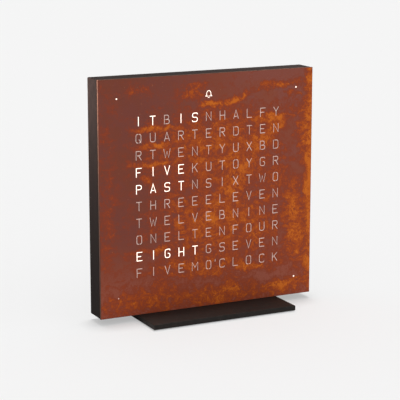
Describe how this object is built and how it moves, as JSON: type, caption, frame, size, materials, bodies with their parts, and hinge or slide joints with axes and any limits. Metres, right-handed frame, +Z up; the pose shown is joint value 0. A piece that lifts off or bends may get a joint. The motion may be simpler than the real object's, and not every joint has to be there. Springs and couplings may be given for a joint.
{
  "type": "word clock",
  "caption": "Square desk word clock: stencilled metal face lit from behind, thin moulded case on a flat base plate, setting buttons and power inlet at the back.",
  "frame": {"origin": "on the floor under the middle of the base plate, which is also the middle of the box's bottom face", "axes": "+Z up along the face's height, +Y to the back, +X to the right as seen from the front; the face looks along -Y"},
  "size_m": [0.135, 0.06, 0.1385],
  "materials": {
    "rusted_face": "matte",
    "tape": "matte",
    "opal": "satin",
    "grid_plastic": "matte",
    "board": "satin",
    "led": "gloss",
    "chip": "satin",
    "black_plastic": "satin",
    "cell_can": "satin",
    "inlet_steel": "satin",
    "button_plastic": "satin",
    "screw_steel": "satin",
    "case_plastic": "satin",
    "cover_plastic": "matte",
    "base_paint": "satin",
    "brass": "satin",
    "pad_rubber": "matte"
  },
  "bodies": {
    "clock": {"front_plate": "rusted_face", "bonding_tape": "tape", "diffuser": "opal", "light_grid": "grid_plastic", "led_board": "board", "letter_leds": "led", "dot_leds": "led", "bell_led": "led", "controller_chip": "chip", "driver_chips": "chip", "cell_holder": "black_plastic", "backup_cell": "cell_can", "alarm_buzzer": "black_plastic", "inlet_shell": "inlet_steel", "inlet_insert": "black_plastic", "tact_switches": "black_plastic", "housing": "case_plastic", "rear_cover": "cover_plastic", "cover_screws": "screw_steel", "base_plate": "base_paint", "base_screws": "screw_steel", "threaded_inserts": "brass", "base_pad": "pad_rubber"},
    "hour_button": {"hour_button": "button_plastic", "hour_plunger": "black_plastic"},
    "minute_button": {"minute_button": "button_plastic", "minute_plunger": "black_plastic"},
    "mode_button": {"mode_button": "button_plastic", "mode_plunger": "black_plastic"},
    "alarm_button": {"alarm_button": "button_plastic", "alarm_plunger": "black_plastic"}
  },
  "joints": [
    {"name": "hour_press", "type": "slide", "parent": "clock", "child": "hour_button", "axis": [0, -1, 0], "range_m": [0, 0.0005], "stiffness_N_per_m": 1200, "springref_m": -0.0005},
    {"name": "minute_press", "type": "slide", "parent": "clock", "child": "minute_button", "axis": [0, -1, 0], "range_m": [0, 0.0005], "stiffness_N_per_m": 1200, "springref_m": -0.0005},
    {"name": "mode_press", "type": "slide", "parent": "clock", "child": "mode_button", "axis": [0, -1, 0], "range_m": [0, 0.0005], "stiffness_N_per_m": 1200, "springref_m": -0.0005},
    {"name": "alarm_press", "type": "slide", "parent": "clock", "child": "alarm_button", "axis": [0, -1, 0], "range_m": [0, 0.0005], "stiffness_N_per_m": 1200, "springref_m": -0.0005}
  ]
}
